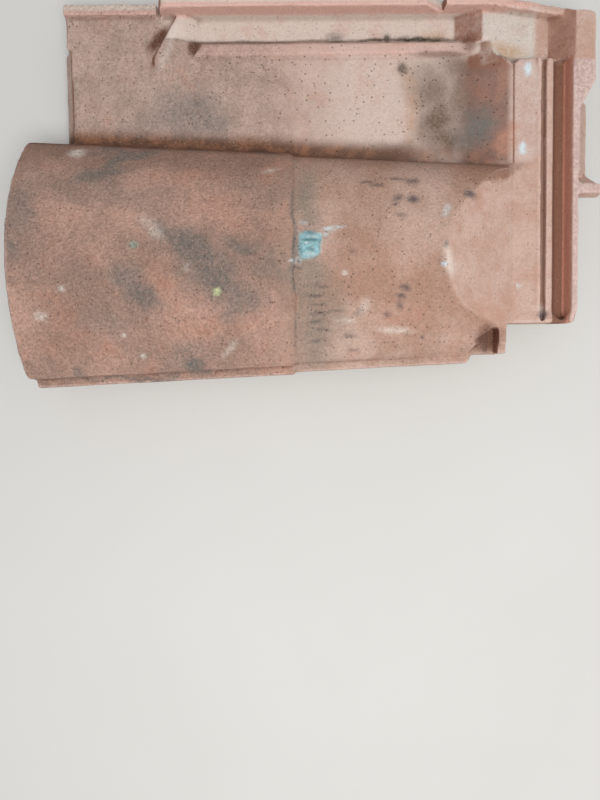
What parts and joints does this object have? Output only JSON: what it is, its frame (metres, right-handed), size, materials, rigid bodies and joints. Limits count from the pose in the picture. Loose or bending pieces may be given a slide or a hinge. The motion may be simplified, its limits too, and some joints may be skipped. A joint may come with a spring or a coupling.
{
  "type": "clay roof tile",
  "caption": "Interlocking clay roof tile: flat pan beside a tapered half-round roll, side gutter, grooved head lock and a nib that hooks over the batten.",
  "frame": {"origin": "under the middle of the tile's outline, level with the bottom of the nib", "axes": "+X across from the gutter to the roll, +Y up the slope from the tail to the head, +Z out of the upper face"},
  "size_m": [0.2968, 0.442, 0.0845],
  "materials": {
    "fired_clay": "matt, unglazed, weathered"
  },
  "bodies": {
    "root": {"roof_tile": "fired_clay"}
  },
  "joints": []
}
